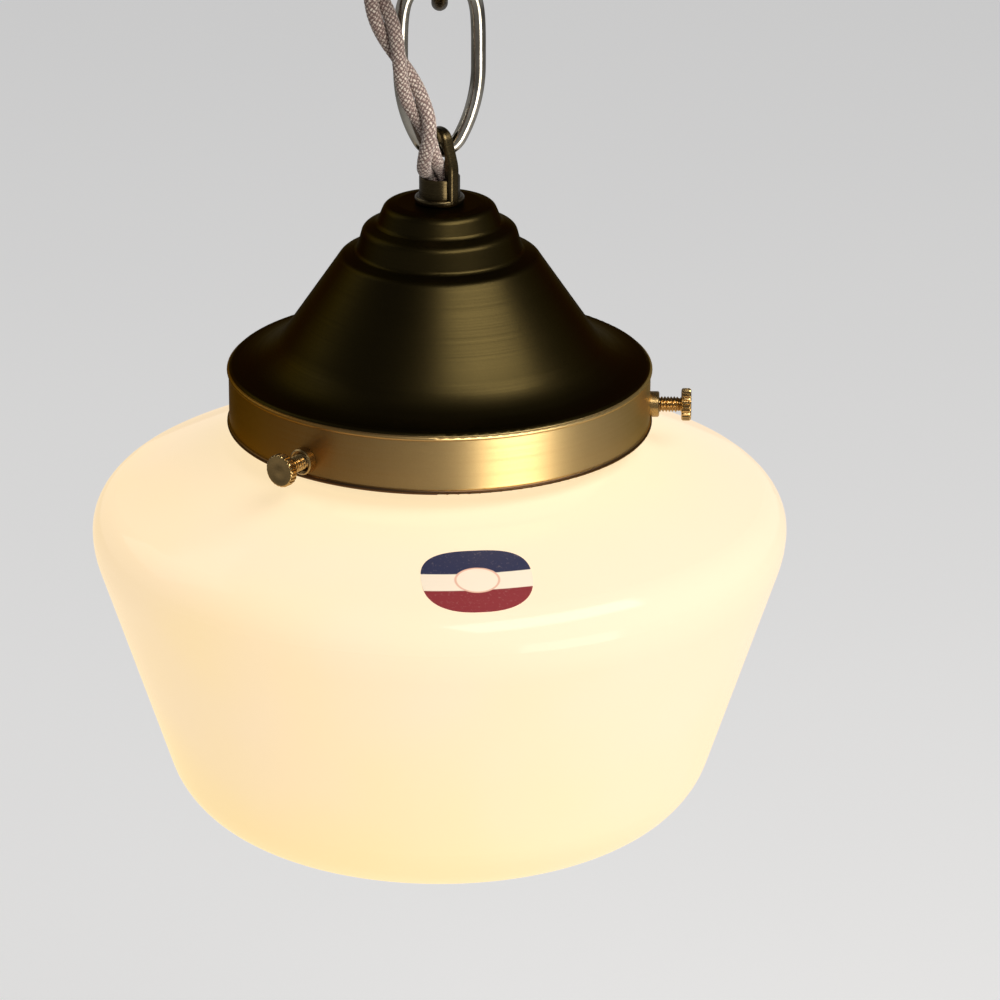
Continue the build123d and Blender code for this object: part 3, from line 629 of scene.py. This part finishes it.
rings, label_across, label_up = label_skin()
label = make_piece("paper_label", [rings[::-1]], 60)
for key, value in (("label_across", label_across), ("label_up", label_up)):
    spread = label.data.attributes.new(key, "FLOAT", "POINT")
    spread.data.foreach_set("value", value[::-1].ravel())
cream = (0.82, 0.70, 0.55, 1)
navy = (0.016, 0.020, 0.060, 1)
wine_red = (0.22, 0.020, 0.025, 1)
rim_ink = (0.72, 0.42, 0.30, 1)
paper_shade = (0.75, 0.62, 0.50, 1)
# Painted light: the paper glows faintly in its own printed colours, standing for the bulb's light shining
# through it.
paper, tree, shader = new_material("printed_label_paper", Roughness=0.5, Emission_Strength=0.12)
across = place(tree, "Attribute", attribute_name="label_across").outputs["Fac"]
up = place(tree, "Attribute", attribute_name="label_up").outputs["Fac"]
field = mixed(tree, stepped(tree, up, 0.20, 0.23), cream, navy)
field = mixed(tree, stepped(tree, up, -0.34, -0.31), wine_red, field)
on_label = place(tree, "CombineXYZ", {"X": across, "Y": up}).outputs[0]
inner = place(tree, "VectorMath", {0: on_label}, operation="LENGTH").outputs["Value"]
field = mixed(tree, stepped(tree, inner, 0.40, 0.42), rim_ink, field)
field = mixed(tree, stepped(tree, inner, 0.36, 0.38), cream, field)
fibre = noise(tree, position(tree), 1500.0)
field = mixed(tree, stepped(tree, fibre, 0.55, 1.6), field, paper_shade)
tree.links.new(field, shader.inputs["Base Color"])
tree.links.new(field, shader.inputs["Emission Color"])
label.data.materials.append(paper)
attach(label, "fixture")

# Lampholder: a brass cap on the hanging loop's stem, a black phenolic body plugged into it, and inside
# it a threaded brass shell, a contact and two terminal screws.
phenolic = moulded("black_phenolic", (0.035, 0.026, 0.022, 1), (0.06, 0.045, 0.035, 1), 0.32)
dress("lampholder_body", phenolic)
for node_name in ("holder_cap", "screw_shell", "centre_contact", "terminal_screws"):
    dress(node_name, boss_brass)

# Bulb: a clear glass envelope with a glass stem and a ring of glowing wire, in a rolled metal base with
# a soldered tip.
clear_finish = {"Transmission_Weight": 1.0, "IOR": 1.45, "Roughness": 0.02}
clear, tree, shader = new_material("clear_bulb_glass", **clear_finish)
haze = noise(tree, position(tree), 60.0, 3.0)
tint = mixed(tree, haze, (0.96, 0.97, 0.96, 1), (0.99, 0.99, 0.99, 1))
tree.links.new(tint, shader.inputs["Base Color"])
emboss(tree, shader, haze, 0.1, 0.1 * mm)
dress("bulb_glass", clear)
dress("bulb_stem", clear)
base_metal = moulded("rolled_aluminium", (0.70, 0.69, 0.66, 1), (0.78, 0.77, 0.74, 1), 0.3, Metallic=1.0)
dress("bulb_base", base_metal)
solder = moulded("solder", (0.50, 0.49, 0.47, 1), (0.62, 0.61, 0.58, 1), 0.4, Metallic=1.0)
dress("bulb_contact", solder)
wire_finish = {"Metallic": 1.0, "Roughness": 0.5, "Emission_Strength": 4.0}
tungsten, tree, shader = new_material("glowing_filament", **wire_finish)
coil = noise(tree, position(tree), 2500.0)
wire_glow = mixed(tree, coil, (1.0, 0.42, 0.10, 1), (1.0, 0.70, 0.30, 1))
tree.links.new(wire_glow, shader.inputs["Emission Color"])
dress("bulb_filament", tungsten)

# Ceiling hardware: a zinc-plated steel strap, threaded tube, nuts and earth screw, a nylon bushing for the
# cord, two moulded wire connectors, and the cord's cores in PVC.
zinc = moulded("zinc_plate", (0.50, 0.51, 0.52, 1), (0.64, 0.65, 0.66, 1), 0.36, 400.0, 0.2, Metallic=1.0)
for node_name in ("mounting_strap", "canopy_nipple", "strap_nut", "cap_washer", "cap_nut"):
    dress(node_name, zinc)
earth_green = moulded("green_zinc", (0.05, 0.22, 0.09, 1), (0.08, 0.30, 0.13, 1), 0.35, Metallic=0.8)
dress("earth_screw", earth_green)
bushing_nylon = moulded("black_nylon", (0.025, 0.025, 0.025, 1), (0.045, 0.045, 0.045, 1), 0.45)
dress("cord_bushing", bushing_nylon)
connector_resin = moulded("connector_resin", (0.70, 0.36, 0.08, 1), (0.78, 0.42, 0.11, 1), 0.38)
dress("wire_connectors", connector_resin)
core_pvc = moulded("core_pvc", (0.72, 0.70, 0.65, 1), (0.80, 0.78, 0.73, 1), 0.4)
dress("canopy_leads", core_pvc)
dress("holder_leads", core_pvc)

# Room: a plain pale floor below the lamp. A wide window light stands high in front on the right, a small
# weak one below it, and a weak fill behind on the left. The room is pale at the horizon, darker above,
# and gives the lamp itself less light than the view shows.
floor_z = -0.62
floor_half = 4.0
floor_glow = 0.46
floor_mesh = bpy.data.meshes.new("floor")
corner_signs = np.array([(-1, -1), (1, -1), (1, 1), (-1, 1)])
floor_corners = np.column_stack([corner_signs * floor_half, np.full(4, floor_z)])
floor_mesh.from_pydata(floor_corners, [], [(0, 1, 2, 3)])
floor = bpy.data.objects.new("floor", floor_mesh)
bpy.context.scene.collection.objects.link(floor)


def seen_share(tree):
    """1 for what the camera sees, straight or through glass, and 0 for what lights the lamp."""
    rays = place(tree, "LightPath").outputs
    either = {0: rays["Is Camera Ray"], 1: rays["Is Transmission Ray"]}
    return place(tree, "Math", either, operation="MAXIMUM").outputs[0]


pale, tree, shader = new_material("pale_floor", Roughness=0.8)
plaster = noise(tree, position(tree), 3.0, 4.0)
plaster_grey = mixed(tree, plaster, (0.50, 0.50, 0.50, 1), (0.54, 0.54, 0.535, 1))
tree.links.new(plaster_grey, shader.inputs["Base Color"])
shader.inputs["Emission Color"].default_value = (1, 1, 1, 1)
shown = place(tree, "Math", {0: seen_share(tree), 1: floor_glow}, operation="MULTIPLY").outputs[0]
tree.links.new(shown, shader.inputs["Emission Strength"])
floor_mesh.materials.append(pale)


def window_light(name, azimuth, elevation, distance, width, height, watts, colour):
    """An area light that faces the middle of the lamp."""
    light = bpy.data.lights.new(name, "AREA")
    light.shape = "RECTANGLE"
    light.size = width
    light.size_y = height
    light.energy = watts
    light.color = colour
    holder = bpy.data.objects.new(name, light)
    turn, rise = math.radians(azimuth), math.radians(elevation)
    reach = distance * math.cos(rise)
    height_z = distance * math.sin(rise) + hem_z
    holder.location = (reach * math.cos(turn), reach * math.sin(turn), height_z)
    holder.rotation_euler = (math.pi / 2 - rise, 0, turn + math.pi / 2)
    holder.visible_camera = False
    bpy.context.scene.collection.objects.link(holder)


window_light("window", -46, 48, 1.5, 1.5, 0.6, 27.0, (1.0, 0.97, 0.93))
window_light("low_window", -50, -15, 0.9, 0.5, 0.36, 3.2, (1.0, 0.95, 0.88))
window_light("fill", 150, 35, 2.0, 1.2, 1.2, 4.0, (0.95, 0.97, 1.0))

world = bpy.data.worlds.new("room")
world.use_nodes = True
bpy.context.scene.world = world
tree = world.node_tree
sky = place(tree, "TexCoord").outputs["Generated"]
upward = stepped(tree, place(tree, "SeparateXYZ", {0: sky}).outputs["Z"], 0.0, 0.75)
room = mixed(tree, upward, (0.62, 0.62, 0.63, 1), (0.10, 0.10, 0.105, 1))
dim = mixed(tree, upward, (0.30, 0.30, 0.30, 1), (0.08, 0.08, 0.085, 1))
background = mixed(tree, seen_share(tree), dim, room)
tree.links.new(background, tree.nodes["Background"].inputs["Color"])
bpy.context.scene.view_settings.view_transform = "Standard"
